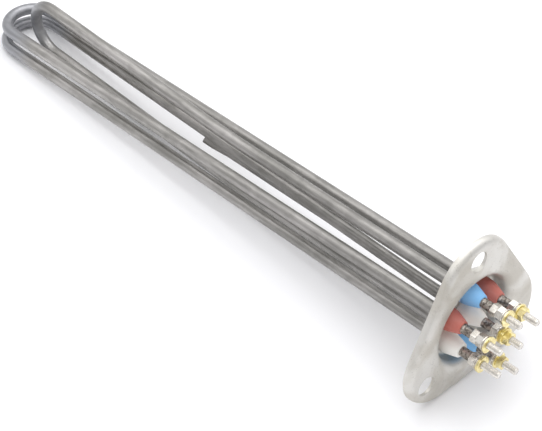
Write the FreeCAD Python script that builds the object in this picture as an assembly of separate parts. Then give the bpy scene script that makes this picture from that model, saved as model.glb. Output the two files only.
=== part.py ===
import FreeCAD, Part
import math
import os

# Flanged three-phase immersion heater: three hairpin tubular elements and a thermowell in one pressed flange.
# The frame: X runs along the bundle towards the terminals, Z is up, and the origin is the centre of the
# bolt circle, on the front of the flange's ears. The elements lie along -X.
# All sizes are in millimetres, angles in degrees.

# Flange: one pressed sheet with three ears, a turned-back rim, a raised ring and a deep cup in the middle
sheet = 2.0
ear_reach = 30.7
ear_radius = 30.9
rim_depth = 5.8
rim_round = 4.6
ring_step = 0.7
ring_radius = 43.2
ring_slope = 2.0
bolt_circle = 98.4
bolt_hole = 14.0
ear_angles = (90.0, 210.0, 330.0)
cup_radius = 30.2
cup_depth = 12.0
cup_mouth_round = 6.0
cup_floor_round = 2.5

# Tubes of the elements
tube = 8.0
tube_wall = 0.8
tube_stands_in_cup = 6.0
leg_straight = 16.0
leg_bend_half = 6.0
braze_leg = 1.6
braze_gap = 0.05

# Places of the legs in the cup's floor: five on a ring, and one near the middle
leg_ring = 19.4
middle_leg_y = 2.4
middle_leg_z = 0.8

# Far bends of the three hairpins: half the spacing of the legs, height, and reach from the flange
red_half = 17.2
red_height = 5.6
red_reach = 435.8
white_half = 19.7
white_height = -6.5
white_reach = 437.0
blue_reach = 412.5
blue_knee = 215.0
blue_rise = 3.7
blue_knee_half = 19.0

# Inside of the elements
pin = 2.5
pin_inset = 2.0
pin_in_winding = 6.0
winding_wall = 0.45
fill_inset = 2.0

# Thermowell: a tube with its far end squashed flat and closed
well_angle = 320.0
well_ring = 17.0
well_tube = 6.3
well_wall = 0.7
well_reach = 251.0
well_stands_in_cup = 1.5
well_flat_length = 9.0
well_flat_thick = 3.2
well_flare = 15.0
well_flat_turn = 38.0

# Insulating sleeves over the tube ends
sleeve_base = 14.6
sleeve_shoulder = 7.0
sleeve_tip = 8.4
sleeve_narrow_tip = 7.4
sleeve_wide_tip = 9.6
sleeve_length = 16.8
sleeve_edge = 0.6
sleeve_shoulder_round = 8.0
sleeve_clearance = 0.05

# Terminals: a crimped ferrule joins each pin to a threaded stud
ferrule = 6.4
ferrule_length = 8.0
ferrule_waist = 5.7
ferrule_collar = 1.6
ferrule_grooves = 3
ferrule_pin_depth = 4.0
stud = 4.9
stud_reach = 29.4
stud_chamfer = 0.6
stud_clearance = 0.15
nut_across = 8.0
steel_nut_height = 4.4
star_end_nuts = 2
brass_nut_height = 4.0
nut_crown = 0.5
nut_turn = 25.0
steel_washer_across = 10.0
steel_washer_thick = 1.0
spring_washer_across = 8.6
spring_washer_thick = 1.3
spring_washer_split = 0.8
brass_washer_across = 11.0
brass_washer_thick = 1.0

# Star bridge: one brass strap with three eyes
strap_thick = 0.8
strap_width = 6.4
strap_eye = 11.0
strap_bend = 1.2

# Directions
AXIS = FreeCAD.Vector(1, 0, 0)

# Lengths that follow from the sizes above
cup_floor = -cup_depth
cup_back = -cup_depth - sheet
cup_outer_radius = cup_radius + sheet
ring_face = ring_step
tube_radius = tube / 2
bore_radius = tube_radius - tube_wall
tube_end = cup_floor + tube_stands_in_cup
leg_bend_at = cup_back - leg_straight - leg_bend_half
pin_radius = pin / 2
pin_inner_end = cup_back - leg_straight + pin_inset
winding_radius = pin_radius + winding_wall
winding_start = pin_inner_end + pin_in_winding
fill_end = tube_end - fill_inset
sleeve_end = cup_floor + sleeve_length
ferrule_end = sleeve_end + ferrule_length
pin_outer_end = sleeve_end + ferrule_pin_depth
stud_end = sleeve_end + stud_reach
well_radius = well_tube / 2
well_end = cup_floor + well_stands_in_cup


def on_ring(radius, angle):
    """Returns the y and z of a place at a radius and an angle about the bundle's axis."""
    turn = math.radians(angle)
    return radius * math.cos(turn), radius * math.sin(turn)


RED_RIGHT = on_ring(leg_ring, 30)
RED_LEFT = on_ring(leg_ring, 150)
BLUE_TOP = on_ring(leg_ring, 90)
BLUE_BOTTOM = on_ring(leg_ring, 270)
WHITE_LEFT = on_ring(leg_ring, 210)
WHITE_MIDDLE = (middle_leg_y, middle_leg_z)
WELL = on_ring(well_ring, well_angle)

LEGS = {
    "red_right": RED_RIGHT,
    "red_left": RED_LEFT,
    "blue_top": BLUE_TOP,
    "blue_bottom": BLUE_BOTTOM,
    "white_middle": WHITE_MIDDLE,
    "white_left": WHITE_LEFT,
}


def at(x, place):
    """Returns the point at x on the line of a leg."""
    return FreeCAD.Vector(x, place[0], place[1])


def rod(place, radius, start, end):
    """Returns a round bar along X at a leg's place."""
    return Part.makeCylinder(radius, end - start, at(start, place), AXIS)


def pipe(place, radius, bore, start, end):
    """Returns a bar along X with a bore right through it."""
    return rod(place, radius, start, end).cut(rod(place, bore, start, end))


# Hairpin paths: straight runs joined by tangent arcs


def rounded_path(points, reaches):
    """Returns the runs and arcs through the points, as tuples of start, end and the arc's centre or None.

    Each corner is rounded by an arc that starts and ends at its reach from the corner.
    """
    pieces = []
    here = points[0]
    for index in range(1, len(points) - 1):
        corner = points[index]
        to_last = points[index - 1].sub(corner)
        to_next = points[index + 1].sub(corner)
        to_last.normalize()
        to_next.normalize()
        opening = to_last.getAngle(to_next)
        if math.pi - opening < 0.0005:
            continue
        reach = reaches[index - 1]
        start = corner.add(to_last.multiply(reach))
        end = corner.add(to_next.multiply(reach))
        inwards = start.add(end).multiply(0.5).sub(corner)
        inwards.normalize()
        centre = corner.add(inwards.multiply(reach / math.cos(opening / 2)))
        if start.distanceToPoint(here) > 0.01:
            pieces.append((here, start, None))
        pieces.append((start, end, centre))
        here = end
    pieces.append((here, points[-1], None))
    return pieces


def disc(point, direction, radius, bore):
    """Returns a round face across a path, with a hole in it if bore isn't zero."""
    outer = Part.Wire(Part.makeCircle(radius, point, direction))
    if bore == 0:
        return Part.Face(outer)
    inner = Part.Wire(Part.makeCircle(bore, point, direction))
    return Part.makeFace([outer, inner], "Part::FaceMakerBullseye")


def along(pieces, radius, bore=0):
    """Sweeps a disc or a ring along the pieces of a path and returns one solid."""
    solids = []
    for start, end, centre in pieces:
        if centre is None:
            run = end.sub(start)
            solids.append(disc(start, run, radius, bore).extrude(run))
            continue
        spoke = start.sub(centre)
        other = end.sub(centre)
        normal = spoke.cross(other)
        tangent = normal.cross(spoke)
        turn = math.degrees(spoke.getAngle(other))
        solids.append(disc(start, tangent, radius, bore).revolve(centre, normal, turn))
    return solids[0].fuse(solids[1:]).removeSplitter()


def flat_hairpin(first, second, half, height, reach, start):
    """Returns the path of a hairpin whose far bend lies level, with start as the x of both its ends."""
    points = [
        at(start, first),
        at(leg_bend_at, first),
        FreeCAD.Vector(-reach, half, height),
        FreeCAD.Vector(-reach, -half, height),
        at(leg_bend_at, second),
        at(start, second),
    ]
    return rounded_path(points, [leg_bend_half, half, half, leg_bend_half])


def upright_hairpin(top, bottom, start):
    """Returns the path of the upright hairpin, whose legs both turn up at a knee and stay parallel."""
    rise = math.radians(blue_rise)
    forward = FreeCAD.Vector(-math.cos(rise), 0, math.sin(rise))
    across = FreeCAD.Vector(math.sin(rise), 0, math.cos(rise))
    half_leg = (top[1] - bottom[1]) / 2
    shift = half_leg * math.tan(rise / 2)
    top_knee = at(-blue_knee + shift, top)
    bottom_knee = at(-blue_knee - shift, bottom)
    middle = top_knee.add(bottom_knee).multiply(0.5)
    tip = middle.add(forward.multiply(blue_reach - blue_knee))
    half = half_leg
    far_top = tip.add(FreeCAD.Vector(across).multiply(half))
    far_bottom = tip.sub(FreeCAD.Vector(across).multiply(half))
    points = [at(start, top), top_knee, far_top, far_bottom, bottom_knee, at(start, bottom)]
    return rounded_path(points, [blue_knee_half, half, half, blue_knee_half])


def red_path(start):
    """Returns the red element's path."""
    return flat_hairpin(RED_RIGHT, RED_LEFT, red_half, red_height, red_reach, start)


def white_path(start):
    """Returns the white element's path."""
    return flat_hairpin(WHITE_MIDDLE, WHITE_LEFT, white_half, white_height, white_reach, start)


def blue_path(start):
    """Returns the blue element's path."""
    return upright_hairpin(BLUE_TOP, BLUE_BOTTOM, start)


ELEMENTS = {
    "red": (red_path, "red_right", "red_left"),
    "white": (white_path, "white_middle", "white_left"),
    "blue": (blue_path, "blue_top", "blue_bottom"),
}


def magnesia(path, first, second):
    """Returns an element's insulation: the jacket round the winding, and the core that the winding holds."""
    jacket = along(path(winding_start), bore_radius, winding_radius)
    ends = [pipe(leg, bore_radius, pin_radius, winding_start, fill_end) for leg in (first, second)]
    core = along(path(pin_inner_end), pin_radius)
    return Part.makeCompound([jacket.fuse(ends).removeSplitter(), core])


# Flange


def ear_outline(inset):
    """Returns the flange's outline, a triangle of three large arcs and straight sides, inset by an amount."""
    radius = ear_radius - inset
    edges = []
    for angle in ear_angles:
        centre = on_ring(ear_reach, angle)
        first = on_ring(radius, angle - 60)
        middle = on_ring(radius, angle)
        last = on_ring(radius, angle + 60)
        points = [at(0, (centre[0] + step[0], centre[1] + step[1])) for step in (first, middle, last)]
        edges.append(Part.Arc(*points).toShape())
        next_centre = on_ring(ear_reach, angle + 120)
        run_end = at(0, (next_centre[0] + last[0], next_centre[1] + last[1]))
        edges.append(Part.LineSegment(points[2], run_end).toShape())
    return Part.Wire(edges)


def front_edges(solid, face):
    """Returns the edges of a solid that lie in its front plane."""
    boxes = [(edge, edge.BoundBox) for edge in solid.Edges]
    return [edge for edge, box in boxes if abs(box.XMin - face) < 0.001 and box.XLength < 0.001]


def tray(inset, depth, lift=0):
    """Returns the outer or inner form of the turned-back rim: a slab with its front edge rounded."""
    face = lift - inset
    wire = ear_outline(inset)
    wire.translate(FreeCAD.Vector(face - depth, 0, 0))
    slab = Part.Face(wire).extrude(FreeCAD.Vector(depth, 0, 0))
    return slab.makeFillet(rim_round - inset, front_edges(slab, face))


def raised_ring(inset, depth):
    """Returns the outer or inner form of the middle, which stands proud of the ears within a sloped edge."""
    foot = ring_radius + ring_slope * (depth + ring_step) / ring_step
    start = FreeCAD.Vector(-depth - inset, 0, 0)
    cone = Part.makeCone(foot - inset / 2, ring_radius - inset / 2, depth + ring_step, start, AXIS)
    return cone.common(tray(inset, depth, ring_step))


def turned(profile):
    """Spins a closed profile, given as edges in the plane of X and Z, about the bundle's axis."""
    return Part.Face(Part.Wire(profile)).revolve(FreeCAD.Vector(0, 0, 0), AXIS, 360)


def quarter(centre_x, centre_r, radius, start, end):
    """Returns an arc of a profile, from one angle to another, in the plane of X and Z."""
    points = []
    for angle in (start, (start + end) / 2, end):
        turn = math.radians(angle)
        out = centre_r + radius * math.sin(turn)
        points.append(FreeCAD.Vector(centre_x + radius * math.cos(turn), 0, out))
    return Part.Arc(*points).toShape()


def line(start, end):
    """Returns a straight edge of a profile between two pairs of x and radius."""
    first = FreeCAD.Vector(start[0], 0, start[1])
    last = FreeCAD.Vector(end[0], 0, end[1])
    return Part.LineSegment(first, last).toShape()


def cup_hollow():
    """Returns the solid inside the cup, from its floor to its rounded mouth."""
    mouth = cup_radius + cup_mouth_round
    corner = cup_radius - cup_floor_round
    edges = [
        line((ring_face, 0), (ring_face, mouth)),
        quarter(ring_face - cup_mouth_round, mouth, cup_mouth_round, 360, 270),
        line((ring_face - cup_mouth_round, cup_radius), (cup_floor + cup_floor_round, cup_radius)),
        quarter(cup_floor + cup_floor_round, corner, cup_floor_round, 90, 180),
        line((cup_floor, corner), (cup_floor, 0)),
        line((cup_floor, 0), (ring_face, 0)),
    ]
    return turned(edges)


def cup_form():
    """Returns the solid within the cup's outer skin, from its back to its flared mouth."""
    mouth = cup_radius + cup_mouth_round
    mouth_at = ring_face - cup_mouth_round
    corner_round = cup_floor_round + sheet
    corner = cup_outer_radius - corner_round
    skin = ring_face - sheet
    edges = [
        line((cup_back, 0), (cup_back, corner)),
        quarter(cup_back + corner_round, corner, corner_round, 180, 90),
        line((cup_back + corner_round, cup_outer_radius), (mouth_at, cup_outer_radius)),
        quarter(mouth_at, mouth, cup_mouth_round - sheet, 270, 360),
        line((skin, mouth), (skin, 0)),
        line((skin, 0), (cup_back, 0)),
    ]
    return turned(edges)


def flange():
    """Returns the pressed flange."""
    outside = tray(0, rim_depth).fuse(raised_ring(0, rim_depth))
    inside = tray(sheet, rim_depth).fuse(raised_ring(sheet, rim_depth))
    cup = cup_form()
    plate = outside.cut(inside.cut(cup)).fuse(cup)
    plate = plate.cut(cup_hollow())
    for angle in ear_angles:
        hole = on_ring(bolt_circle / 2, angle)
        plate = plate.cut(rod(hole, bolt_hole / 2, -rim_depth, sheet))
    for place in LEGS.values():
        plate = plate.cut(rod(place, tube_radius + braze_gap, cup_back - sheet, cup_floor + sheet))
    plate = plate.cut(rod(WELL, well_radius + braze_gap, cup_back - sheet, cup_floor + sheet))
    return plate.removeSplitter()


def braze_ring(place, radius):
    """Returns the fillet of filler metal where a tube meets the back of the cup's floor."""
    profile = [
        line((cup_back, radius), (cup_back, radius + braze_leg)),
        quarter(cup_back - braze_leg, radius + braze_leg, braze_leg, 0, -90),
        line((cup_back - braze_leg, radius), (cup_back, radius)),
    ]
    ring = turned(profile)
    ring.translate(at(0, place))
    return ring


# Thermowell


def well_section(x, width, thick):
    """Returns a round or flattened section of the thermowell, as four edges that match the next one's."""
    half = (width - thick) / 2
    radius = thick / 2
    if half > 0:
        corners = [(half, radius), (half, -radius), (-half, -radius), (-half, radius)]
    else:
        corners = [on_ring(radius, angle) for angle in (45, -45, -135, -225)]
    middles = [(half + radius, 0), (0, -radius), (-half - radius, 0), (0, radius)]
    edges = []
    for index in range(4):
        points = [corners[index], middles[index], corners[(index + 1) % 4]]
        points = [at(x, point) for point in points]
        if half > 0 and index % 2 == 1:
            edges.append(Part.LineSegment(points[0], points[2]).toShape())
        else:
            edges.append(Part.Arc(*points).toShape())
    wire = Part.Wire(edges)
    wire.rotate(FreeCAD.Vector(0, 0, 0), AXIS, well_flat_turn)
    wire.translate(at(0, WELL))
    return wire


def well_form(radius, far_end):
    """Returns the thermowell's outer or inner form: a round bar that flattens towards its far end."""
    flat_start = well_flat_length - well_reach
    neck = flat_start + well_flare
    thick = well_flat_thick - 2 * (well_radius - radius)
    width = math.pi * radius - thick * (math.pi / 2 - 1)
    flat_middle = well_section(flat_start, width, thick)
    flare = Part.makeLoft([well_section(neck, 2 * radius, 2 * radius), flat_middle], True, True)
    form = rod(WELL, radius, neck, well_end).fuse(flare)
    if far_end < flat_start:
        flat = Part.Face(flat_middle).extrude(FreeCAD.Vector(far_end - flat_start, 0, 0))
        form = form.fuse(flat)
    return form


def thermowell():
    """Returns the thermowell with its bore, closed at the flat end and open towards the terminals."""
    outside = well_form(well_radius, -well_reach)
    inside = well_form(well_radius - well_wall, well_flat_length - well_reach)
    return outside.cut(inside)


# Terminals


def sleeve(place, tip):
    """Returns an insulating sleeve: straight, then tapered, and bored for the tube's end and the pin."""
    base_radius = sleeve_base / 2
    shoulder = cup_floor + sleeve_shoulder
    profile = [
        line((cup_floor, 0), (cup_floor, base_radius)),
        line((cup_floor, base_radius), (shoulder, base_radius)),
        line((shoulder, base_radius), (sleeve_end, tip / 2)),
        line((sleeve_end, tip / 2), (sleeve_end, 0)),
        line((sleeve_end, 0), (cup_floor, 0)),
    ]
    body = turned(profile)
    shoulders = [edge for edge in body.Edges if is_rim(edge, shoulder)]
    body = body.makeFillet(sleeve_shoulder_round, shoulders)
    rims = [edge for edge in body.Edges if is_rim(edge, cup_floor) or is_rim(edge, sleeve_end)]
    body = body.makeFillet(sleeve_edge, rims)
    body.translate(at(0, place))
    body = body.cut(rod(place, tube_radius + sleeve_clearance, cup_floor, tube_end))
    return body.cut(rod(place, pin_radius + sleeve_clearance, cup_floor, sleeve_end))


def is_rim(edge, x):
    """Tells whether an edge is a circle in the plane at x."""
    box = edge.BoundBox
    return box.XLength < 0.001 and abs(box.XMin - x) < 0.001 and box.YLength > pin


def terminal_pin(place):
    """Returns the pin that leads from the winding to the ferrule."""
    return rod(place, pin_radius, pin_inner_end, pin_outer_end)


def crimp_ferrule(place):
    """Returns the ferrule, with collars at its ends and grooves between, bored for the pin and the stud."""
    body = rod(place, ferrule / 2, sleeve_end, ferrule_end)
    span = ferrule_length - 2 * ferrule_collar
    pitch = span / ferrule_grooves
    for index in range(ferrule_grooves):
        start = sleeve_end + ferrule_collar + pitch * (index + 0.25)
        body = body.cut(pipe(place, ferrule, ferrule_waist / 2, start, start + pitch / 2))
    body = body.cut(rod(place, pin_radius, sleeve_end, pin_outer_end))
    return body.cut(rod(place, stud / 2, pin_outer_end, ferrule_end))


def threaded_stud(place):
    """Returns the stud, crimped into the ferrule and chamfered at its outer end."""
    bar = rod(place, stud / 2, pin_outer_end, stud_end)
    rim = [edge for edge in bar.Edges if edge.BoundBox.XMin > stud_end - 0.001]
    return bar.makeChamfer(stud_chamfer, rim)


def hex_nut(place, start, height, turn=0):
    """Returns a nut along X, turned about it, with the corners of its outer face crowned."""
    corner = nut_across / math.sqrt(3)
    points = [on_ring(corner, angle + turn) for angle in range(0, 361, 60)]
    wire = Part.makePolygon([at(start, (place[0] + y, place[1] + z)) for y, z in points])
    block = Part.Face(wire).extrude(FreeCAD.Vector(height, 0, 0))
    foot = corner + nut_crown * (height / nut_crown - 1)
    crown = Part.makeCone(foot, corner - nut_crown, height, at(start, place), AXIS)
    block = block.common(crown)
    return block.cut(rod(place, stud / 2 + stud_clearance / 2, start, start + height))


def washer(place, start, across, thick):
    """Returns a flat washer along X."""
    return pipe(place, across / 2, stud / 2 + stud_clearance, start, start + thick)


def spring_washer(place, start):
    """Returns a split lock washer, closed up flat under its nut."""
    ring = washer(place, start, spring_washer_across, spring_washer_thick)
    slot = Part.makeBox(
        spring_washer_thick,
        spring_washer_split,
        spring_washer_across,
        at(start, (place[0] - spring_washer_split / 2, place[1])),
    )
    return ring.cut(slot)


# The stacks on the studs, from the ferrule outwards. Paired nuts carry the strap's raised eyes, and the
# phase ends and the strap's middle carry brass.
SLEEVE_TIPS = {"white_middle": sleeve_narrow_tip, "white_left": sleeve_wide_tip}
STAR_ENDS = ("blue_top", "red_left")
STAR_MIDDLE = "white_middle"
BRASS_WASHERS = {"red_right": 1, "blue_bottom": 1, "white_left": 2, STAR_MIDDLE: 2}
BRASS_NUTS = ("red_right", "blue_bottom", STAR_MIDDLE)

strap_low_at = ferrule_end + steel_nut_height + steel_washer_thick + spring_washer_thick
strap_rise = (star_end_nuts - 1) * steel_nut_height


def steel_stack():
    """Returns the steel nuts, the flat washers and the spring washers of all six studs."""
    nuts = []
    flats = []
    springs = []
    for name, place in LEGS.items():
        count = 1
        if name in STAR_ENDS:
            count = star_end_nuts
        for index in range(count):
            start = ferrule_end + index * steel_nut_height
            nuts.append(hex_nut(place, start, steel_nut_height, index * nut_turn))
        flat_at = ferrule_end + count * steel_nut_height
        flats.append(washer(place, flat_at, steel_washer_across, steel_washer_thick))
        springs.append(spring_washer(place, flat_at + steel_washer_thick))
    return nuts, flats, springs


def brass_fasteners():
    """Returns the brass washers and nuts, which stand on the spring washers and on the strap's middle eye."""
    washers = []
    nuts = []
    for name, count in BRASS_WASHERS.items():
        start = strap_low_at
        if name == STAR_MIDDLE:
            start = strap_low_at + strap_thick
        for index in range(count):
            step = start + index * brass_washer_thick
            washers.append(washer(LEGS[name], step, brass_washer_across, brass_washer_thick))
        if name in BRASS_NUTS:
            nuts.append(hex_nut(LEGS[name], start + count * brass_washer_thick, brass_nut_height))
    return washers, nuts


def strap_arm(middle, end):
    """Returns one arm of the strap: it leaves the low middle eye, rises, and carries a raised end eye."""
    span = FreeCAD.Vector(0, end[0] - middle[0], end[1] - middle[1])
    flat_length = strap_eye / 2 + strap_bend
    far_bend = span.Length - flat_length
    low = strap_low_at
    high = low + strap_rise
    path = [(low, 0), (low, flat_length), (high, far_bend), (high, span.Length)]
    near_side = [FreeCAD.Vector(x, along_arm, -strap_width / 2) for x, along_arm in path]
    far_side = [point.add(FreeCAD.Vector(strap_thick, 0, 0)) for point in reversed(near_side)]
    outline = Part.Face(Part.makePolygon(near_side + far_side + near_side[:1]))
    arm = outline.extrude(FreeCAD.Vector(0, 0, strap_width))
    bends = []
    for edge in arm.Edges:
        box = edge.BoundBox
        at_bend = min(abs(box.YMin - flat_length), abs(box.YMin - far_bend)) < 0.001
        if at_bend and box.YLength < 0.001 and box.ZLength > strap_width / 2:
            bends.append(edge)
    arm = arm.makeFillet(strap_bend, bends)
    arm.rotate(FreeCAD.Vector(0, 0, 0), AXIS, math.degrees(math.atan2(span.z, span.y)))
    arm.translate(at(0, middle))
    return arm


def star_bridge():
    """Returns the strap that joins one end of each element."""
    middle = LEGS[STAR_MIDDLE]
    body = rod(middle, strap_eye / 2, strap_low_at, strap_low_at + strap_thick)
    high = strap_low_at + strap_rise
    for name in STAR_ENDS:
        body = body.fuse(strap_arm(middle, LEGS[name]))
        body = body.fuse(rod(LEGS[name], strap_eye / 2, high, high + strap_thick))
    for name in STAR_ENDS + (STAR_MIDDLE,):
        body = body.cut(rod(LEGS[name], stud / 2 + stud_clearance, strap_low_at - sheet, high + sheet))
    return body.removeSplitter()


# Writing the pieces


def save(shape, name):
    """Writes one node's solids to its own file."""
    shape.exportStep("parts/" + name + ".step")


def build():
    """Builds every piece and writes it."""
    os.makedirs("parts", exist_ok=True)
    save(flange(), "flange")
    save(thermowell(), "thermowell")
    rings = [braze_ring(place, tube_radius) for place in LEGS.values()]
    save(Part.makeCompound(rings + [braze_ring(WELL, well_radius)]), "braze_rings")
    for colour, (path, first, second) in ELEMENTS.items():
        save(along(path(tube_end), tube_radius, bore_radius), colour + "_sheath")
        save(magnesia(path, LEGS[first], LEGS[second]), colour + "_magnesia")
        save(along(path(winding_start), winding_radius, pin_radius), colour + "_winding")
    for name, place in LEGS.items():
        save(sleeve(place, SLEEVE_TIPS.get(name, sleeve_tip)), name + "_sleeve")
        save(terminal_pin(place), name + "_pin")
        save(crimp_ferrule(place), name + "_ferrule")
        save(threaded_stud(place), name + "_stud")
    nuts, flats, springs = steel_stack()
    save(Part.makeCompound(nuts), "steel_nuts")
    save(Part.makeCompound(flats), "steel_washers")
    save(Part.makeCompound(springs), "spring_washers")
    save(star_bridge(), "star_bridge")
    washers, nuts = brass_fasteners()
    save(Part.makeCompound(washers), "brass_washers")
    save(Part.makeCompound(nuts), "brass_nuts")


build()
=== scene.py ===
"""A flanged three-phase immersion heater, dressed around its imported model.

Three hairpin elements and a thermowell stand in one pressed flange, and six studs with sleeves, nuts
and a star bridge stand on its other side. X runs along the bundle towards the studs and Z is up. The
sizes of the pieces are in millimetres. Meshes, finishes, the floor and the lamps are in metres.
"""

import logging
import math
from dataclasses import dataclass, field
from enum import Enum

import bmesh
import bpy
from mathutils import Matrix, Vector


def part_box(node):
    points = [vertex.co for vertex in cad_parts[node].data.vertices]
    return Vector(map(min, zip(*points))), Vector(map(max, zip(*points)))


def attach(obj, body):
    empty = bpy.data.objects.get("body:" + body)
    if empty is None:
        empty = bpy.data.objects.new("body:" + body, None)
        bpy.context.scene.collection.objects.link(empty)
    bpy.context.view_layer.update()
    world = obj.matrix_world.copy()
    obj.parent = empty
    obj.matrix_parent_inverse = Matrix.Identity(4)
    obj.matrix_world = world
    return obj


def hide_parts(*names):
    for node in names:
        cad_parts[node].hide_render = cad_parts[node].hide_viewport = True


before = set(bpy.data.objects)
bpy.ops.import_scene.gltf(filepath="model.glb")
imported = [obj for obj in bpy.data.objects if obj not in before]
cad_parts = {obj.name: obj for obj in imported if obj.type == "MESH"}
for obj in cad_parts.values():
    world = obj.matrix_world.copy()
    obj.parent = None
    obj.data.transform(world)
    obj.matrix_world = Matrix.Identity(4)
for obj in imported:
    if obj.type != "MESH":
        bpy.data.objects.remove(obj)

Colour = tuple[float, float, float, float]

MM = 0.001
WELD = 0.002 * MM
LEAST_EDGE = 0.001 * MM
AXIS = Vector((1.0, 0.0, 0.0))
log = logging.getLogger("heater")


class Leg(Enum):
    """The six tube ends in the flange, named by the colour of their sleeve."""

    RED_RIGHT = "red_right"
    RED_LEFT = "red_left"
    BLUE_TOP = "blue_top"
    BLUE_BOTTOM = "blue_bottom"
    WHITE_MIDDLE = "white_middle"
    WHITE_LEFT = "white_left"

    def centre(self) -> Vector:
        """Returns the leg's line at x = 0, in millimetres."""
        low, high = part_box(self.value + "_stud")
        middle = (low + high) / 2 / MM
        return Vector((0.0, middle.y, middle.z))

    def colour(self) -> str:
        """Returns the colour word of the leg's sleeve."""
        return self.value.split("_")[0]


STAR_ENDS = (Leg.BLUE_TOP, Leg.RED_LEFT)
STAR_MIDDLE = Leg.WHITE_MIDDLE
BRASS_WASHERS = {Leg.RED_RIGHT: 1, Leg.BLUE_BOTTOM: 1, Leg.WHITE_LEFT: 2, Leg.WHITE_MIDDLE: 2}
BRASS_TURNS = {Leg.RED_RIGHT: 11.0, Leg.BLUE_BOTTOM: 34.0, Leg.WHITE_MIDDLE: 50.0}
STACK_GROUPS = ("steel_nuts", "steel_washers", "spring_washers", "brass_washers", "brass_nuts")
SLEEVE_TIP = 4.2
SLEEVE_TIPS = {Leg.WHITE_MIDDLE: 3.7, Leg.WHITE_LEFT: 4.8}
STEEL_TURNS = {
    Leg.RED_RIGHT: 30.0,
    Leg.RED_LEFT: 47.0,
    Leg.BLUE_TOP: 4.0,
    Leg.BLUE_BOTTOM: 21.0,
    Leg.WHITE_MIDDLE: 38.0,
    Leg.WHITE_LEFT: 55.0,
}


def span(node: str) -> tuple[float, float]:
    """Returns where a node starts and ends along X, in millimetres.

    Args:
        node: The node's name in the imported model.

    Returns:
        The lowest and the highest x.
    """
    low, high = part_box(node)
    return low.x / MM, high.x / MM


# Shading

FIRST_COLOUR, SECOND_COLOUR, MIXED_COLOUR = 6, 7, 2
SCREEN_GAMMA = 2.2
LINE_SCALE, LINE_STRETCH = 1400.0, 0.03
PATCH_SCALE, PATCH_STRETCH = 170.0, 0.12
CLOUD_SCALE, SPECK_SCALE, WAVE_SCALE = 60.0, 900.0, 45.0


class Graph:
    """A node tree that is filled by short calls."""

    def __init__(self, tree: bpy.types.NodeTree) -> None:
        """Takes the tree and empties it.

        Args:
            tree: The material's, world's or group's tree.
        """
        self.tree = tree
        tree.nodes.clear()

    def add(self, kind: str, inputs: dict | None = None, **settings: object) -> bpy.types.Node:
        """Adds one node.

        Args:
            kind: Blender's name of the node type, without its ShaderNode prefix.
            inputs: Values for the sockets, or sockets of other nodes to link, by name or number.
            settings: Properties to set on the node.

        Returns:
            The new node.
        """
        prefix = "" if kind.startswith("NodeGroup") else "ShaderNode"
        node = self.tree.nodes.new(prefix + kind)
        for name, value in settings.items():
            setattr(node, name, value)
        for name, value in (inputs or {}).items():
            if isinstance(value, bpy.types.NodeSocket):
                self.link(value, node, name)
            else:
                node.inputs[name].default_value = value
        return node

    def link(self, value: bpy.types.NodeSocket, node: bpy.types.Node, name: str | int) -> None:
        """Links a socket to another node's input.

        Args:
            value: The socket to read.
            node: The node that takes it.
            name: The input's name or number.
        """
        self.tree.links.new(value, node.inputs[name])

    def math(self, operation: str, first: object, second: object = 0.0) -> bpy.types.NodeSocket:
        """Adds a Math node and returns its result.

        Args:
            operation: The node's operation.
            first: A number or a socket.
            second: A number or a socket.

        Returns:
            The output socket.
        """
        return self.add("Math", {0: first, 1: second}, operation=operation).outputs[0]

    def ramp(self, value: bpy.types.NodeSocket, low: float, high: float) -> bpy.types.NodeSocket:
        """Maps the stretch of a value from low to high onto 0 to 1, smoothly.

        Args:
            value: The socket to map.
            low: The value that becomes 0.
            high: The value that becomes 1.

        Returns:
            The output socket.
        """
        inputs = {"Value": value, "From Min": low, "From Max": high}
        return self.add("MapRange", inputs, interpolation_type="SMOOTHSTEP").outputs["Result"]

    def mix(self, factor: object, first: object, second: object) -> bpy.types.NodeSocket:
        """Mixes two colours.

        Args:
            factor: A number or a socket, 0 for the first colour and 1 for the second.
            first: A colour or a socket.
            second: A colour or a socket.

        Returns:
            The mixed colour's socket.
        """
        inputs = {"Factor": factor, FIRST_COLOUR: first, SECOND_COLOUR: second}
        return self.add("Mix", inputs, data_type="RGBA").outputs[MIXED_COLOUR]

    def roughen(self, shader: bpy.types.Node, value: bpy.types.NodeSocket, base: float, more: float) -> None:
        """Makes a surface rougher where a value is high.

        Args:
            shader: The surface's shader.
            value: The socket with the value.
            base: The roughness where the value is 0.
            more: How much is added where it is 1.
        """
        rough = self.add("Math", {0: value, 1: more, 2: base}, operation="MULTIPLY_ADD")
        self.link(rough.outputs[0], shader, "Roughness")

    def bump(
        self, shader: bpy.types.Node, height: bpy.types.NodeSocket, depth: float, strength: float
    ) -> None:
        """Makes a surface uneven.

        Args:
            shader: The surface's shader.
            height: The socket with the height, from 0 to 1.
            depth: What a height of 1 stands for, in metres.
            strength: How much of it shows.
        """
        uneven = self.add("Bump", {"Height": height, "Distance": depth, "Strength": strength})
        self.link(uneven.outputs[0], shader, "Normal")


def rgb(red: float, green: float, blue: float) -> Colour:
    """Turns a colour as seen on a screen, from 0 to 255, into the linear colour that shaders take."""
    linear = [math.pow(part / 255, SCREEN_GAMMA) for part in (red, green, blue)]
    return linear[0], linear[1], linear[2], 1.0


def shaded(colour: Colour, share: float, lift: float = 0.0) -> Colour:
    """Returns a share of a colour, lifted towards white by a fixed amount."""
    red, green, blue = (part * share + lift for part in colour[:3])
    return red, green, blue, 1.0


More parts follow.
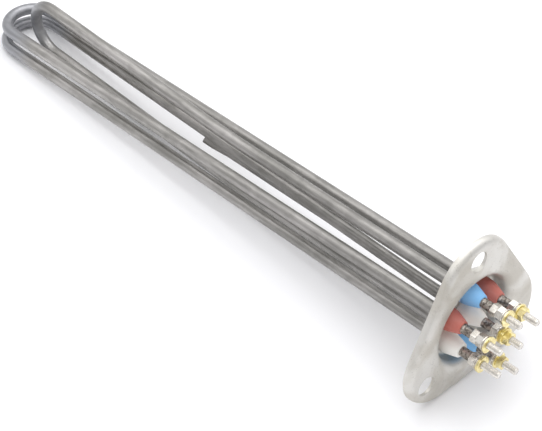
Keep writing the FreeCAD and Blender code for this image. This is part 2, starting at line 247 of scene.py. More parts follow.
def effect(
    name: str, inputs: dict[str, float], outputs: tuple[str, ...]
) -> tuple[Graph, bpy.types.Node, bpy.types.Node]:
    """Starts a node group for an effect that several finishes use.

    Args:
        name: The group's name.
        inputs: The names of its number inputs, with their defaults.
        outputs: The names of its number outputs.

    Returns:
        The group's graph, its input node and its output node.
    """
    group = bpy.data.node_groups.new(name, "ShaderNodeTree")
    group.interface.new_socket("Vector", in_out="INPUT", socket_type="NodeSocketVector")
    for key, value in inputs.items():
        socket = group.interface.new_socket(key, in_out="INPUT", socket_type="NodeSocketFloat")
        socket.default_value = value
    for key in outputs:
        group.interface.new_socket(key, in_out="OUTPUT", socket_type="NodeSocketFloat")
    graph = Graph(group)
    return graph, graph.add("NodeGroupInput"), graph.add("NodeGroupOutput")


def drawn_lines() -> bpy.types.NodeTree:
    """Makes the effect of fine lines along X that drawing leaves on a tube, and of scuffed patches.

    Returns:
        The node group, with the outputs Lines and Patches.
    """
    graph, start, end = effect("Drawn lines", {}, ("Lines", "Patches"))
    line_noise = {"Scale": LINE_SCALE, "Detail": 4.0}
    patch_noise = {"Scale": PATCH_SCALE, "Detail": 5.0, "Roughness": 0.65}
    for name, stretch, noise, low, high in (
        ("Lines", LINE_STRETCH, line_noise, 0.35, 0.65),
        ("Patches", PATCH_STRETCH, patch_noise, 0.38, 0.64),
    ):
        drawn = graph.add("Mapping", {"Vector": start.outputs["Vector"], "Scale": (stretch, 1.0, 1.0)})
        grain = graph.add("TexNoise", {"Vector": drawn.outputs[0], **noise})
        graph.link(graph.ramp(grain.outputs[0], low, high), end, name)
    return graph.tree


def cloudy_stain() -> bpy.types.NodeTree:
    """Makes the effect of cloudy handling marks and small specks on a pressed or moulded surface.

    Returns:
        The node group, with the outputs Cloud, Specks and Waves.
    """
    graph, start, end = effect("Cloudy stain", {"Size": 1.0}, ("Cloud", "Specks", "Waves"))
    vector = start.outputs["Vector"]
    cloud_scale = graph.math("DIVIDE", CLOUD_SCALE, start.outputs["Size"])
    cloud = graph.add("TexNoise", {"Vector": vector, "Scale": cloud_scale, "Detail": 6.0, "Distortion": 0.6})
    specks = graph.add("TexNoise", {"Vector": vector, "Scale": SPECK_SCALE, "Detail": 2.0})
    waves = graph.add("TexNoise", {"Vector": vector, "Scale": WAVE_SCALE, "Detail": 2.0})
    graph.link(graph.ramp(cloud.outputs[0], 0.36, 0.66), end, "Cloud")
    graph.link(graph.ramp(specks.outputs[0], 0.62, 0.72), end, "Specks")
    graph.link(waves.outputs[0], end, "Waves")
    return graph.tree


class Effects:
    """The shared effects, each built once."""

    def __init__(self) -> None:
        """Builds every effect."""
        self.lines = drawn_lines()
        self.stain = cloudy_stain()


@dataclass(frozen=True)
class Finish:
    """A plain finish: one colour, one roughness.

    Its subclasses add what the surface shows.
    """

    slot: str
    colour: Colour
    roughness: float
    metallic: float = 0.0

    def material(self, effects: Effects) -> bpy.types.Material:
        """Builds the material.

        Args:
            effects: The shared effects.

        Returns:
            The new material.
        """
        made = bpy.data.materials.new(self.slot)
        made.use_nodes = True
        graph = Graph(made.node_tree)
        inputs = {"Roughness": self.roughness, "Metallic": self.metallic, "Base Color": self.colour}
        shader = graph.add("BsdfPrincipled", inputs)
        graph.add("OutputMaterial", {"Surface": shader.outputs[0]})
        self.dress(graph, shader, effects)
        return made

    def dress(self, graph: Graph, shader: bpy.types.Node, effects: Effects) -> None:
        """Adds what the surface shows beyond its colour. A plain finish adds nothing."""

    @staticmethod
    def place(graph: Graph, tree: bpy.types.NodeTree, values: dict[str, float]) -> bpy.types.Node:
        """Adds a shared effect, read at the piece's own coordinates.

        Args:
            graph: The material's graph.
            tree: The effect's node group.
            values: The effect's values by name.

        Returns:
            The group node.
        """
        where = graph.add("TexCoord").outputs["Object"]
        return graph.add("Group", {"Vector": where, **values}, node_tree=tree)


@dataclass(frozen=True)
class TubeSteel(Finish):
    """Drawn stainless tube, annealed to a dull grey, with lines along it and scuffed patches.

    The tube is darker towards the flange, and its far bends keep a faint blue heat tint.

    Attributes:
        scuffed: The colour of the patches.
        tinted: The colour of the heat tint.
        darkening: Where along X the tube starts and stops getting darker, in metres.
        darkened: How dark it gets, from 0 to 1.
        clouded: How dark the clouds are, from 0 to 1.
        tinting: Where along X the tint starts and is full, in metres.
        tint: How much of the tint's colour shows.
    """

    scuffed: Colour = (0.5, 0.5, 0.5, 1.0)
    tinted: Colour = (0.3, 0.3, 0.3, 1.0)
    darkening: tuple[float, float] = (-0.40, -0.02)
    darkened: float = 0.38
    clouded: float = 0.2
    tinting: tuple[float, float] = (-0.39, -0.415)
    tint: float = 0.6

    def dress(self, graph: Graph, shader: bpy.types.Node, effects: Effects) -> None:
        """Adds lines, patches and the two changes of tone along the tube."""
        lines = self.place(graph, effects.lines, {})
        stain = self.place(graph, effects.stain, {"Size": 0.7})
        patched = graph.mix(lines.outputs["Patches"], self.colour, self.scuffed)
        along = graph.add("SeparateXYZ", {0: graph.add("TexCoord").outputs["Object"]}).outputs["X"]
        near = graph.math("MULTIPLY", graph.ramp(along, *self.darkening), self.darkened)
        dull = graph.math("ADD", graph.math("MULTIPLY", stain.outputs["Cloud"], self.clouded), near)
        bend = graph.math("MULTIPLY", graph.ramp(along, *self.tinting), self.tint)
        toned = graph.mix(dull, patched, shaded(self.colour, 0.45))
        graph.link(graph.mix(bend, toned, self.tinted), shader, "Base Color")
        graph.roughen(shader, lines.outputs["Lines"], self.roughness, 0.12)
        graph.bump(shader, lines.outputs["Lines"], 0.00003, 0.6)


@dataclass(frozen=True)
class SheetSteel(Finish):
    """Pressed stainless sheet with a satin face, cloudy marks and a slightly wavy skin."""

    stained: Colour = (0.5, 0.5, 0.5, 1.0)
    speckled: float = 0.35

    def dress(self, graph: Graph, shader: bpy.types.Node, effects: Effects) -> None:
        """Adds clouds, specks and waves."""
        stain = self.place(graph, effects.stain, {"Size": 1.4})
        clouded = graph.mix(stain.outputs["Cloud"], self.colour, self.stained)
        specks = graph.math("MULTIPLY", stain.outputs["Specks"], self.speckled)
        graph.link(graph.mix(specks, clouded, shaded(self.colour, 0.4)), shader, "Base Color")
        graph.roughen(shader, stain.outputs["Cloud"], self.roughness, 0.15)
        graph.bump(shader, stain.outputs["Waves"], 0.0003, 0.5)


@dataclass(frozen=True)
class Moulded(Finish):
    """Soft moulded rubber with faint dust."""

    dust: float = 0.12

    def dress(self, graph: Graph, shader: bpy.types.Node, effects: Effects) -> None:
        """Adds dust and a faint unevenness."""
        stain = self.place(graph, effects.stain, {"Size": 0.35})
        amount = graph.math("MULTIPLY", stain.outputs["Cloud"], self.dust)
        pale = shaded(self.colour, 0.6, lift=0.3)
        graph.link(graph.mix(amount, self.colour, pale), shader, "Base Color")
        graph.bump(shader, stain.outputs["Specks"], 0.00004, 0.3)


@dataclass(frozen=True)
class Machined(Finish):
    """Machined or plated metal with small dull spots."""

    tarnish: Colour = (0.3, 0.3, 0.3, 1.0)
    amount: float = 0.4

    def dress(self, graph: Graph, shader: bpy.types.Node, effects: Effects) -> None:
        """Adds tarnish in small clouds."""
        stain = self.place(graph, effects.stain, {"Size": 0.12})
        amount = graph.math("MULTIPLY", stain.outputs["Cloud"], self.amount)
        graph.link(graph.mix(amount, self.colour, self.tarnish), shader, "Base Color")
        graph.roughen(shader, stain.outputs["Cloud"], self.roughness, 0.12)


FINISHES = (
    TubeSteel(
        "tube_steel",
        rgb(153, 151, 147),
        roughness=0.38,
        metallic=1.0,
        scuffed=rgb(184, 181, 178),
        tinted=rgb(150, 153, 161),
    ),
    SheetSteel("flange_steel", rgb(212, 210, 205), roughness=0.46, metallic=1.0, stained=rgb(198, 194, 186)),
    Finish("braze", rgb(170, 160, 135), roughness=0.45, metallic=1.0),
    Finish("magnesia", rgb(232, 230, 224), roughness=0.9),
    Finish("resistance_wire", rgb(110, 106, 104), roughness=0.4, metallic=1.0),
    Moulded("red_sleeve", rgb(192, 108, 96), roughness=0.55),
    Moulded("blue_sleeve", rgb(132, 192, 244), roughness=0.55),
    Moulded("white_sleeve", rgb(248, 246, 240), roughness=0.55),
    Machined("plated_steel", rgb(230, 226, 219), roughness=0.22, metallic=1.0, tarnish=rgb(176, 170, 164)),
    Machined(
        "ferrule_steel",
        rgb(190, 182, 174),
        roughness=0.36,
        metallic=1.0,
        tarnish=rgb(84, 77, 72),
        amount=0.9,
    ),
    Machined("brass", rgb(240, 228, 172), roughness=0.26, metallic=1.0, tarnish=rgb(202, 174, 104)),
)


class Wardrobe:
    """The materials by the record's slot, and what dresses a piece with them."""

    def __init__(self, finishes: tuple[Finish, ...]) -> None:
        """Builds each finish's material.

        Args:
            finishes: The finishes, one for each slot.
        """
        effects = Effects()
        self.materials = {finish.slot: finish.material(effects) for finish in finishes}

    def dress_node(self, node: str, slot: str) -> None:
        """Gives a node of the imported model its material.

        Args:
            node: The node's name.
            slot: The finish's slot.
        """
        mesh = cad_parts[node].data
        mesh.materials.clear()
        mesh.materials.append(self.materials[slot])

    def hang(
        self, shape: bmesh.types.BMesh, name: str, slot: str, nodes: tuple[str, ...], crease: float = 32.0
    ) -> None:
        """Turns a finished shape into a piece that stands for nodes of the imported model.

        Args:
            shape: The shape in metres, in place. It is freed.
            name: The piece's name.
            slot: The finish's slot.
            nodes: The nodes that the piece stands for.
            crease: Edges that bend more than this many degrees stay sharp.
        """
        bmesh.ops.remove_doubles(shape, verts=shape.verts[:], dist=WELD)
        bmesh.ops.recalc_face_normals(shape, faces=shape.faces[:])
        limit = math.radians(crease)
        for face in shape.faces:
            face.smooth = True
        for edge in shape.edges:
            edge.smooth = len(edge.link_faces) == 2 and edge.calc_face_angle(0.0) < limit
        mesh = bpy.data.meshes.new(name)
        shape.to_mesh(mesh)
        shape.free()
        mesh.materials.append(self.materials[slot])
        piece = bpy.data.objects.new(name, mesh)
        bpy.context.scene.collection.objects.link(piece)
        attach(piece, "root")
        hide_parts(*nodes)
        log.info("%s: %d faces", name, len(mesh.polygons))


# Shaping

SHORTEST_RUN = 0.01
LEAST_STEPS, STEP_ANGLE = 3, 3.0


def spots(profile: list[tuple[float, float]], centre: Vector) -> list[Vector]:
    """Returns where the points of a profile lie above a line along X.

    Args:
        profile: Pairs of x and radius, in millimetres.
        centre: A point on the line, in millimetres.

    Returns:
        The points, in metres.
    """
    return [Vector((x, centre.y, centre.z + radius)) * MM for x, radius in profile]


def lathe(profile: list[tuple[float, float]], centre: Vector, steps: int) -> bmesh.types.BMesh:
    """Spins a profile about a line along X.

    Args:
        profile: Pairs of x and radius in millimetres. The last is joined to the first, unless both lie
            on the line.
        centre: A point on the line, in millimetres.
        steps: The number of faces round the line.

    Returns:
        The closed shape, in metres.
    """
    shape = bmesh.new()
    points = [shape.verts.new(spot) for spot in spots(profile, centre)]
    edges = [shape.edges.new(pair) for pair in zip(points, points[1:])]
    if profile[0][1] > 0.0 or profile[-1][1] > 0.0:
        edges.append(shape.edges.new((points[-1], points[0])))
    bmesh.ops.spin(
        shape,
        geom=points + edges,
        cent=centre * MM,
        axis=AXIS,
        angle=math.tau,
        steps=steps,
        use_merge=True,
    )
    bmesh.ops.remove_doubles(shape, verts=shape.verts[:], dist=WELD)
    bmesh.ops.recalc_face_normals(shape, faces=shape.faces[:])
    return shape


def soften(shape: bmesh.types.BMesh, offset: float, segments: int, angle: float = 50.0) -> None:
    """Rounds the edges of a shape that bend more than an angle.

    Args:
        shape: The shape, in metres.
        offset: The size of the rounding, in millimetres.
        segments: The number of faces across it.
        angle: The least bend, in degrees.
    """
    limit = math.radians(angle)
    edges = [edge for edge in shape.edges if len(edge.link_faces) == 2 and edge.calc_face_angle(0.0) > limit]
    bmesh.ops.bevel(
        shape,
        geom=edges,
        offset=offset * MM,
        affect="EDGES",
        segments=segments,
        profile=0.5,
        material=-1,
        clamp_overlap=True,
    )


def slice_off(shape: bmesh.types.BMesh, at: Vector, side: Vector) -> None:
    """Cuts off what lies beyond a plane, and closes the cut.

    Args:
        shape: The shape, in metres.
        at: A point of the plane, in millimetres.
        side: The way from the plane towards what goes.
    """
    geom = shape.verts[:] + shape.edges[:] + shape.faces[:]
    cut = bmesh.ops.bisect_plane(shape, geom=geom, plane_co=at * MM, plane_no=side, clear_outer=True)
    rim = [item for item in cut["geom_cut"] if isinstance(item, bmesh.types.BMEdge)]
    bmesh.ops.contextual_create(shape, geom=rim)


def draw_in(vert: bmesh.types.BMVert, centre: Vector, scale: float) -> None:
    """Scales a vertex's distance from a line along X.

    Args:
        vert: The vertex.
        centre: The line's point at x = 0, in millimetres.
        scale: The share of the distance that stays.
    """
    spot = vert.co / MM - centre
    vert.co = Vector((spot.x, centre.y + spot.y * scale, centre.z + spot.z * scale)) * MM


def merge(target: bmesh.types.BMesh, part: bmesh.types.BMesh) -> None:
    """Adds a part to a target shape and frees the part."""
    carrier = bpy.data.meshes.new("carrier")
    part.to_mesh(carrier)
    part.free()
    target.from_mesh(carrier)
    bpy.data.meshes.remove(carrier)


def loop_of(verts: list[bmesh.types.BMVert]) -> list[bmesh.types.BMEdge]:
    """Returns the edges that run between the given vertices, each once and in their order."""
    chosen = set(verts)
    edges = (edge for vert in verts for edge in vert.link_edges if edge.other_vert(vert) in chosen)
    return list(dict.fromkeys(edges))


@dataclass(frozen=True)
class Bend:
    """An arc that rounds the corner of a route."""

    start: Vector
    end: Vector
    centre: Vector
    axis: Vector
    angle: float

    @staticmethod
    def at_corner(before: Vector, corner: Vector, after: Vector, reach: float) -> "Bend":
        """Works out the arc that starts and ends at its reach from a corner, all in millimetres.

        Args:
            before: The point before the corner.
            corner: The corner.
            after: The point after the corner.
            reach: How far from the corner the arc starts and ends.

        Returns:
            The arc.
        """
        back = (before - corner).normalized()
        forward = (after - corner).normalized()
        opening = back.angle(forward)
        start = corner + back * reach
        end = corner + forward * reach
        inwards = (back + forward).normalized()
        centre = corner + inwards * (reach / math.cos(opening / 2))
        axis = (start - centre).cross(end - centre).normalized()
        return Bend(start, end, centre, axis, math.pi - opening)


def sweep(points: list[Vector], reaches: list[float], radius: float, sides: int) -> bmesh.types.BMesh:
    """Runs a round section along a route of straight runs and rounded corners.

    Args:
        points: The route's ends and corners, in millimetres.
        reaches: How far each corner's arc reaches, in millimetres.
        radius: The section's radius, in millimetres.
        sides: The number of faces round the section.

    Returns:
        The closed tube, in metres.
    """
    shape = bmesh.new()
    heading = (points[1] - points[0]).to_track_quat("Z", "Y").to_matrix().to_4x4()
    place = Matrix.Translation(points[0] * MM) @ heading
    made = bmesh.ops.create_circle(shape, cap_ends=True, segments=sides, radius=radius * MM, matrix=place)
    verts = made["verts"]
    here = points[0]
    for corner in zip(points, points[1:], points[2:], reaches):
        bend = Bend.at_corner(*corner)
        if (bend.start - here).length > SHORTEST_RUN:
            verts = run(shape, verts, bend.start - here)
        steps = max(LEAST_STEPS, math.ceil(math.degrees(bend.angle) / STEP_ANGLE))
        last = bmesh.ops.spin(
            shape,
            geom=verts + loop_of(verts),
            cent=bend.centre * MM,
            axis=bend.axis,
            angle=bend.angle,
            steps=steps,
        )["geom_last"]
        verts = [item for item in last if isinstance(item, bmesh.types.BMVert)]
        here = bend.end
    verts = run(shape, verts, points[-1] - here)
    bmesh.ops.contextual_create(shape, geom=loop_of(verts))
    return shape


def run(shape: bmesh.types.BMesh, verts: list[bmesh.types.BMVert], step: Vector) -> list[bmesh.types.BMVert]:
    """Draws a loop of vertices out in a straight line.

    Args:
        shape: The shape, in metres.
        verts: The loop.
        step: The way and the length, in millimetres.

    Returns:
        The new loop.
    """
    made = bmesh.ops.extrude_edge_only(shape, edges=loop_of(verts))["geom"]
    moved = [item for item in made if isinstance(item, bmesh.types.BMVert)]
    bmesh.ops.translate(shape, verts=moved, vec=step * MM)
    return moved


def refined(node: str) -> bmesh.types.BMesh:
    """Returns a merged copy of a node's mesh, in metres."""
    shape = bmesh.new()
    shape.from_mesh(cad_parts[node].data)
    bmesh.ops.remove_doubles(shape, verts=shape.verts[:], dist=WELD)
    bmesh.ops.dissolve_degenerate(shape, edges=shape.edges[:], dist=LEAST_EDGE)
    return shape


# The elements


@dataclass(frozen=True)
class Hairpin:
    """One tubular element, bent into a hairpin."""

    colour: str
    first: Leg
    second: Leg
    reach: float
    tube_radius: float = 4.0
    straight: float = 36.0
    bend_reach: float = 6.0
    sides: int = 40

    def route(self) -> tuple[list[Vector], list[float]]:
        """Returns the corners of the route and how far each corner's arc reaches."""
        raise NotImplementedError

    def start(self, leg: Leg) -> Vector:
        """Returns where a leg's tube ends, under its sleeve."""
        return leg.centre() + AXIS * span(self.colour + "_sheath")[1]

    def build(self, wardrobe: Wardrobe) -> None:
        """Builds the tube.

        Args:
            wardrobe: The materials.
        """
        points, reaches = self.route()
        shape = sweep(points, reaches, self.tube_radius, self.sides)
        wardrobe.hang(shape, self.colour + "_element", "tube_steel", (self.colour + "_sheath",))
        wardrobe.dress_node(self.colour + "_magnesia", "magnesia")
        wardrobe.dress_node(self.colour + "_winding", "resistance_wire")


@dataclass(frozen=True)
class LevelHairpin(Hairpin):
    """A hairpin whose far bend lies level."""

    half: float = 17.2
    height: float = 0.0

    def route(self) -> tuple[list[Vector], list[float]]:
        """Returns the corners and the reaches of a level hairpin."""
        points = [
            self.start(self.first),
            self.first.centre() - AXIS * self.straight,
            Vector((-self.reach, self.half, self.height)),
            Vector((-self.reach, -self.half, self.height)),
            self.second.centre() - AXIS * self.straight,
            self.start(self.second),
        ]
        return points, [self.bend_reach, self.half, self.half, self.bend_reach]


@dataclass(frozen=True)
class UprightHairpin(Hairpin):
    """A hairpin that stands on edge and turns up at a knee, so that it passes through the level ones."""

    knee: float = 215.0
    rise: float = 3.7
    knee_reach: float = 19.0

    def route(self) -> tuple[list[Vector], list[float]]:
        """Returns the corners and the reaches of the upright hairpin."""
        top = self.first.centre()
        bottom = self.second.centre()
        half = (top.z - bottom.z) / 2
        rise = math.radians(self.rise)
        forward = Vector((-math.cos(rise), 0.0, math.sin(rise)))
        across = Vector((math.sin(rise), 0.0, math.cos(rise)))
        shift = half * math.tan(rise / 2)
        top_knee = top - AXIS * (self.knee - shift)
        bottom_knee = bottom - AXIS * (self.knee + shift)
        tip = (top_knee + bottom_knee) / 2 + forward * (self.reach - self.knee)
        points = [
            self.start(self.first),
            top_knee,
            tip + across * half,
            tip - across * half,
            bottom_knee,
            self.start(self.second),
        ]
        return points, [self.knee_reach, half, half, self.knee_reach]


HAIRPINS = (
    LevelHairpin("red", Leg.RED_RIGHT, Leg.RED_LEFT, reach=435.8, half=17.2, height=5.6),
    LevelHairpin("white", Leg.WHITE_MIDDLE, Leg.WHITE_LEFT, reach=437.0, half=19.7, height=-6.5),
    UprightHairpin("blue", Leg.BLUE_TOP, Leg.BLUE_BOTTOM, reach=412.5),
)


@dataclass(frozen=True)
class Thermowell:
    """The pocket for a probe: a thin tube whose far end is squashed flat."""

    slot: str = "tube_steel"

    def build(self, wardrobe: Wardrobe) -> None:
        """Builds the thermowell.

        Args:
            wardrobe: The materials.
        """
        wardrobe.hang(refined("thermowell"), "probe_pocket", self.slot, ("thermowell",))


@dataclass(frozen=True)
class Flange:
    """The pressed flange and the braze on the back of its cup."""

    crease: float = 35.0

    def build(self, wardrobe: Wardrobe) -> None:
        """Builds the flange and the braze rings.

        Args:
            wardrobe: The materials.
        """
        wardrobe.hang(refined("flange"), "pressed_flange", "flange_steel", ("flange",), crease=self.crease)
        wardrobe.hang(refined("braze_rings"), "braze", "braze", ("braze_rings",), crease=self.crease)


# The terminals


@dataclass(frozen=True)
class Nut:
    """A hexagon nut with crowned corners."""

    across: float = 8.0
    bore: float = 2.525
    crown: float = 0.55
    steps: int = 60

    def shape(self, centre: Vector, start: float, height: float, turn: float) -> bmesh.types.BMesh:
        """Cuts a nut from a chamfered ring.

        Args:
            centre: A point on the stud's line, in millimetres.
            start: Where the nut starts along X, in millimetres.
            height: The nut's height, in millimetres.
            turn: How far the nut is turned about the stud, in degrees.

        Returns:
            The nut, in metres.
        """
        corner = self.across / math.sqrt(3)
        end = start + height
        profile = [
            (start, self.bore),
            (start, corner - self.crown / 2),
            (start + self.crown / 4, corner),
            (end - self.crown * 0.7, corner),
            (end, corner - self.crown * 1.5),
            (end, self.bore),
        ]
        shape = lathe(profile, centre, self.steps)
        for index in range(6):
            angle = math.radians(turn + 60 * index)
            side = Vector((0.0, math.cos(angle), math.sin(angle)))
            slice_off(shape, centre + side * (self.across / 2), side)
        return shape


@dataclass(frozen=True)
class Stack:
    """What stands on the six studs, from the ferrules outwards.

    A thin seam keeps pieces of one group apart where they lie on each other. The washers' edges are
    rounded by a share of their thickness.
    """

    steel_nut: float = 4.4
    nut_turn: float = 25.0
    flat_washer: float = 1.0
    spring_washer: float = 1.3
    strap: float = 0.8
    brass_washer: float = 1.0
    brass_nut: float = 4.0
    flat_radius: float = 5.0
    spring_radius: float = 4.3
    brass_radius: float = 5.5
    bore: float = 2.6
    split: float = 0.8
    seam: float = 0.02
    flat_edge: float = 0.16
    spring_edge: float = 0.12
    steps: int = 56
    spring_steps: int = 52
    nut: Nut = field(default_factory=Nut)

    def washer(self, centre: Vector, start: float, thick: float, radius: float) -> bmesh.types.BMesh:
        """Makes a flat washer.

        Args:
            centre: A point on the stud's line, in millimetres.
            start: Where the washer starts along X, in millimetres.
            thick: Its thickness, in millimetres.
            radius: Its outer radius, in millimetres.

        Returns:
            The washer, in metres.
        """
        end = start + thick
        section = [(start, self.bore), (start, radius), (end, radius), (end, self.bore)]
        shape = lathe(section, centre, self.steps)
        soften(shape, thick * self.flat_edge, segments=2)
        return shape

    def split_washer(self, centre: Vector, start: float) -> bmesh.types.BMesh:
        """Makes a split lock washer.

        Args:
            centre: A point on the stud's line, in millimetres.
            start: Where the washer starts along X, in millimetres.

        Returns:
            The washer, in metres.
        """
        end = start + self.spring_washer
        radius = self.spring_radius
        section = [(start, self.bore), (start, radius), (end, radius), (end, self.bore)]
        shape = bmesh.new()
        ring = [shape.verts.new(spot) for spot in spots(section, centre)]
        face = shape.faces.new(ring)
        turn = math.tau - self.split / radius
        geom = ring + list(face.edges) + [face]
        bmesh.ops.spin(shape, geom=geom, cent=centre * MM, axis=AXIS, angle=turn, steps=self.spring_steps)
        half = Matrix.Rotation(-turn / 2, 4, "X")
        bmesh.ops.transform(shape, matrix=half, space=Matrix.Translation(-centre * MM), verts=shape.verts[:])
        soften(shape, self.spring_washer * self.spring_edge, segments=2)
        return shape

    def build(self, wardrobe: Wardrobe) -> None:
        """Builds every nut and washer.

        Args:
            wardrobe: The materials.
        """
        groups = {name: bmesh.new() for name in STACK_GROUPS}
        for leg in Leg:
            centre = leg.centre()
            at = span(leg.value + "_ferrule")[1]
            for step in range(2 if leg in STAR_ENDS else 1):
                turn = STEEL_TURNS[leg] + step * self.nut_turn
                merge(groups["steel_nuts"], self.nut.shape(centre, at, self.steel_nut - self.seam, turn))
                at += self.steel_nut
            merge(groups["steel_washers"], self.washer(centre, at, self.flat_washer, self.flat_radius))
            at += self.flat_washer
            merge(groups["spring_washers"], self.split_washer(centre, at))
            at += self.spring_washer
            if leg in STAR_ENDS:
                continue
            if leg is STAR_MIDDLE:
                at += self.strap
            for _ in range(BRASS_WASHERS[leg]):
                thick = self.brass_washer - self.seam
                merge(groups["brass_washers"], self.washer(centre, at, thick, self.brass_radius))
                at += self.brass_washer
            if leg in BRASS_TURNS:
                merge(groups["brass_nuts"], self.nut.shape(centre, at, self.brass_nut, BRASS_TURNS[leg]))
        for name, shape in groups.items():
            slot = "brass" if name.startswith("brass") else "plated_steel"
            wardrobe.hang(shape, name + "_set", slot, (name,))
        wardrobe.hang(refined("star_bridge"), "star_strap", "brass", ("star_bridge",))


@dataclass(frozen=True)
class Terminal:
    """One leg's sleeve, ferrule and stud.

    The hatch is given by the stretch of the ferrule that it covers, by its lines round the ferrule and by
    how far they turn along it. The thread's crest is a share of its pitch, on each side of the middle.
    """

    leg: Leg
    sleeve_base: float = 7.3
    sleeve_shoulder: float = 7.0
    sleeve_blend: float = 1.6
    sleeve_edge: float = 0.6
    sleeve_steps: int = 72
    ferrule_radius: float = 3.2
    ferrule_steps: int = 80
    ferrule_stations: int = 22
    hatch_depth: float = 0.36
    hatch_stretch: tuple[float, float] = (0.14, 0.9)
    hatch_around: float = 10.0
    hatch_along: float = 16.0
    stud_radius: float = 2.45
    thread_depth: float = 0.32
    thread_steps: int = 20
    thread_lead: int = 2
    pitch: float = 0.8
    crest: float = 0.12
    chamfer: float = 0.6

    def build(self, wardrobe: Wardrobe) -> None:
        """Builds the leg's pieces.

        Args:
            wardrobe: The materials.
        """
        name = self.leg.value
        wardrobe.hang(self.sleeve(), name + "_boot", self.leg.colour() + "_sleeve", (name + "_sleeve",))
        wardrobe.hang(self.ferrule(), name + "_crimp", "ferrule_steel", (name + "_ferrule",), crease=60.0)
        wardrobe.hang(self.stud(), name + "_thread", "plated_steel", (name + "_stud",), crease=50.0)
        wardrobe.dress_node(name + "_pin", "plated_steel")

    def sleeve(self) -> bmesh.types.BMesh:
        """Returns the tapered sleeve, in metres."""
        start, end = span(self.leg.value + "_sleeve")
        tip = SLEEVE_TIPS.get(self.leg, SLEEVE_TIP)
        shoulder = start + self.sleeve_shoulder
        slope = (self.sleeve_base - tip) / (end - shoulder)
        blend = []
        for way in (step / 6 for step in range(7)):
            x = shoulder + self.sleeve_blend * (2 * way - 1)
            blend.append((x, self.sleeve_base - slope * self.sleeve_blend * way * way))
        profile = [(start, 0.0), (start, self.sleeve_base)] + blend + [(end, tip), (end, 0.0)]
        shape = lathe(profile, self.leg.centre(), self.sleeve_steps)
        soften(shape, self.sleeve_edge, segments=4)
        return shape

    def ferrule(self) -> bmesh.types.BMesh:
        """Returns the ferrule with its cross-hatched middle, in metres."""
        start, end = span(self.leg.value + "_ferrule")
        centre = self.leg.centre()
        length = end - start
        stations = self.ferrule_stations
        rows = [(start + length * index / stations, self.ferrule_radius) for index in range(stations + 1)]
        shape = lathe([(start, 0.0)] + rows + [(end, 0.0)], centre, self.ferrule_steps)
        first, last = self.hatch_stretch
        for vert in shape.verts:
            spot = vert.co / MM - centre
            out = math.hypot(spot.y, spot.z)
            along = (spot.x - start) / length
            if out < self.ferrule_radius / 2 or not first < along < last:
                continue
            around = self.hatch_around * math.atan2(spot.z, spot.y)
            slant = self.hatch_along * along
            ridge = abs(math.sin(around + slant)) * abs(math.sin(around - slant))
            draw_in(vert, centre, 1.0 - self.hatch_depth * (1.0 - ridge) / out)
        return shape

    def stud(self) -> bmesh.types.BMesh:
        """Returns the stud with its thread and its chamfered end, in metres."""
        start, end = span(self.leg.value + "_stud")
        centre = self.leg.centre()
        shape = bmesh.new()
        root = self.stud_radius - self.thread_depth
        flat = self.pitch * self.crest
        first = start - self.thread_lead * self.pitch
        middle = first + self.pitch / 2
        outer = self.stud_radius
        profile = [(first, root), (middle - flat, outer), (middle + flat, outer), (first + self.pitch, root)]
        points = [shape.verts.new(spot) for spot in spots(profile, centre)]
        edges = [shape.edges.new(pair) for pair in zip(points, points[1:])]
        turns = math.ceil((end - start) / self.pitch) + self.thread_lead + 1
        bmesh.ops.spin(
            shape,
            geom=points + edges,
            cent=centre * MM,
            axis=AXIS,
            dvec=AXIS * (self.pitch * MM / self.thread_steps),
            angle=math.tau * turns,
            steps=self.thread_steps * turns,
        )
        bmesh.ops.remove_doubles(shape, verts=shape.verts[:], dist=WELD)
        slice_off(shape, centre + AXIS * start, -AXIS)
        slice_off(shape, centre + AXIS * end, AXIS)
        self.trim(shape, centre, end)
        return shape

    def trim(self, shape: bmesh.types.BMesh, centre: Vector, end: float) -> None:
        """Brings the thread's last turn down to a cone.

        Args:
            shape: The stud, in metres.
            centre: A point on its line, in millimetres.
            end: Where it ends along X, in millimetres.
        """
        for vert in shape.verts:
            spot = vert.co / MM - centre
            out = math.hypot(spot.y, spot.z)
            limit = self.stud_radius - max(0.0, self.chamfer - (end - spot.x))
            if out > limit:
                draw_in(vert, centre, limit / out)


# The setting


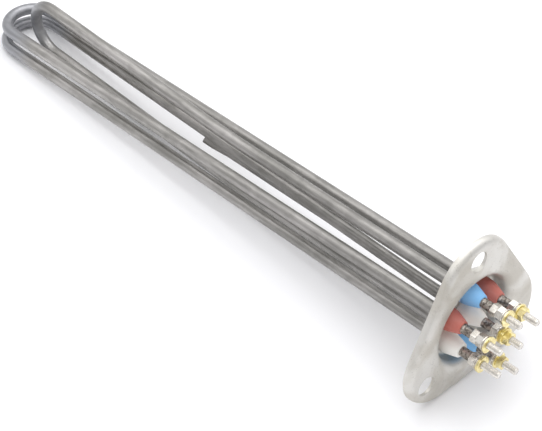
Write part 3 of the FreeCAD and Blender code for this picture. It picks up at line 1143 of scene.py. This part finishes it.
@dataclass(frozen=True)
class Studio:
    """The floor that the heater lies on, the lamps and the surroundings.

    The floor runs through the flange's lowest edge and the lowest far bend, both as x and z in millimetres.
    """

    flange_edge: tuple[float, float] = (-5.8, -46.3)
    far_bend: tuple[float, float] = (-441.0, -10.6)
    floor_size: float = 60.0
    floor_colour: Colour = rgb(247, 247, 249)
    dome_low: Colour = (0.72, 0.72, 0.73, 1.0)
    dome_high: Colour = (0.98, 0.98, 0.99, 1.0)
    dome_rise: tuple[float, float] = (0.0, 0.9)
    dome_strength: float = 0.95
    aim: tuple[float, float, float] = (-0.2, 0.0, 0.0)

    def build(self) -> None:
        """Builds the floor, the lamps and the world."""
        self.floor()
        self.world()
        self.lamp("key", place=(-0.3, -0.1, 1.5), size=1.8, power=13.0)
        self.lamp("back", place=(-0.1, 0.9, 1.0), size=1.4, power=5.0)

    def floor(self) -> None:
        """Lays a pale floor under the flange's flat side and the far bends."""
        low = Vector((self.far_bend[0], 0.0, self.far_bend[1]))
        high = Vector((self.flange_edge[0], 0.0, self.flange_edge[1]))
        way = (high - low).normalized()
        side = Vector((0.0, 1.0, 0.0))
        up = way.cross(side)
        place = Matrix((way, side, up)).transposed().to_4x4()
        place.translation = (low + high) / 2 * MM
        shape = bmesh.new()
        bmesh.ops.create_grid(shape, x_segments=1, y_segments=1, size=self.floor_size / 2, matrix=place)
        mesh = bpy.data.meshes.new("floor")
        shape.to_mesh(mesh)
        shape.free()
        made = bpy.data.materials.new("floor")
        made.use_nodes = True
        graph = Graph(made.node_tree)
        shader = graph.add("BsdfDiffuse", {"Color": self.floor_colour})
        graph.add("OutputMaterial", {"Surface": shader.outputs[0]})
        mesh.materials.append(made)
        floor = bpy.data.objects.new("floor", mesh)
        bpy.context.scene.collection.objects.link(floor)

    def world(self) -> None:
        """Surrounds the heater with a soft grey dome that is brighter overhead. The camera sees white."""
        world = bpy.data.worlds.new("studio")
        world.use_nodes = True
        graph = Graph(world.node_tree)
        height = graph.add("SeparateXYZ", {0: graph.add("TexCoord").outputs["Generated"]}).outputs["Z"]
        tone = graph.mix(graph.ramp(height, *self.dome_rise), self.dome_low, self.dome_high)
        dome = graph.add("Background", {"Color": tone, "Strength": self.dome_strength})
        white = graph.add("Background", {"Color": (1.0, 1.0, 1.0, 1.0), "Strength": 1.0})
        seen = graph.add("LightPath").outputs["Is Camera Ray"]
        both = graph.add("MixShader", {0: seen, 1: dome.outputs[0], 2: white.outputs[0]})
        graph.add("OutputWorld", {"Surface": both.outputs[0]})
        bpy.context.scene.world = world

    def lamp(self, name: str, place: tuple[float, float, float], size: float, power: float) -> None:
        """Hangs a square soft lamp that points at the middle of the heater.

        Args:
            name: The lamp's name.
            place: Where it hangs, in metres.
            size: The length of its side, in metres.
            power: Its power, in watts.
        """
        data = bpy.data.lights.new(name, "AREA")
        data.size = size
        data.energy = power
        lamp = bpy.data.objects.new(name, data)
        lamp.location = place
        lamp.rotation_euler = (Vector(self.aim) - Vector(place)).to_track_quat("-Z", "Y").to_euler()
        bpy.context.scene.collection.objects.link(lamp)


@dataclass(frozen=True)
class PhotoCamera:
    """The camera at the photograph's viewpoint."""

    place: tuple[float, float, float] = (506.8, -646.2, 838.8)
    azimuth: float = 46.57
    elevation: float = 42.62
    roll: float = -1.73
    lens: float = 128.66
    sensor: float = 36.0

    def build(self) -> None:
        """Sets up the camera and makes it the scene's."""
        turn, tilt, roll = (math.radians(angle) for angle in (self.azimuth, self.elevation, self.roll))
        back = Vector((math.sin(turn) * math.cos(tilt), -math.cos(turn) * math.cos(tilt), math.sin(tilt)))
        level = Vector((0.0, 0.0, 1.0)).cross(back).normalized()
        upright = back.cross(level)
        right = level * math.cos(roll) + upright * math.sin(roll)
        up = back.cross(right)
        data = bpy.data.cameras.new("photo")
        data.lens = self.lens
        data.sensor_width = self.sensor
        data.clip_start = 0.01
        data.clip_end = 100.0
        camera = bpy.data.objects.new("photo", data)
        camera.matrix_world = Matrix((right, up, back)).transposed().to_4x4()
        camera.location = Vector(self.place) * MM
        bpy.context.scene.collection.objects.link(camera)
        bpy.context.scene.camera = camera


def main() -> None:
    """Builds the heater's pieces in order, then the studio and the camera."""
    logging.basicConfig(level=logging.INFO, format="%(name)s %(message)s")
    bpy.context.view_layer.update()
    bpy.context.scene.view_settings.view_transform = "Standard"
    wardrobe = Wardrobe(FINISHES)
    for hairpin in HAIRPINS:
        hairpin.build(wardrobe)
    Thermowell().build(wardrobe)
    Flange().build(wardrobe)
    for leg in Leg:
        Terminal(leg).build(wardrobe)
    Stack().build(wardrobe)
    Studio().build()
    PhotoCamera().build()


if __name__ == "__main__":
    main()
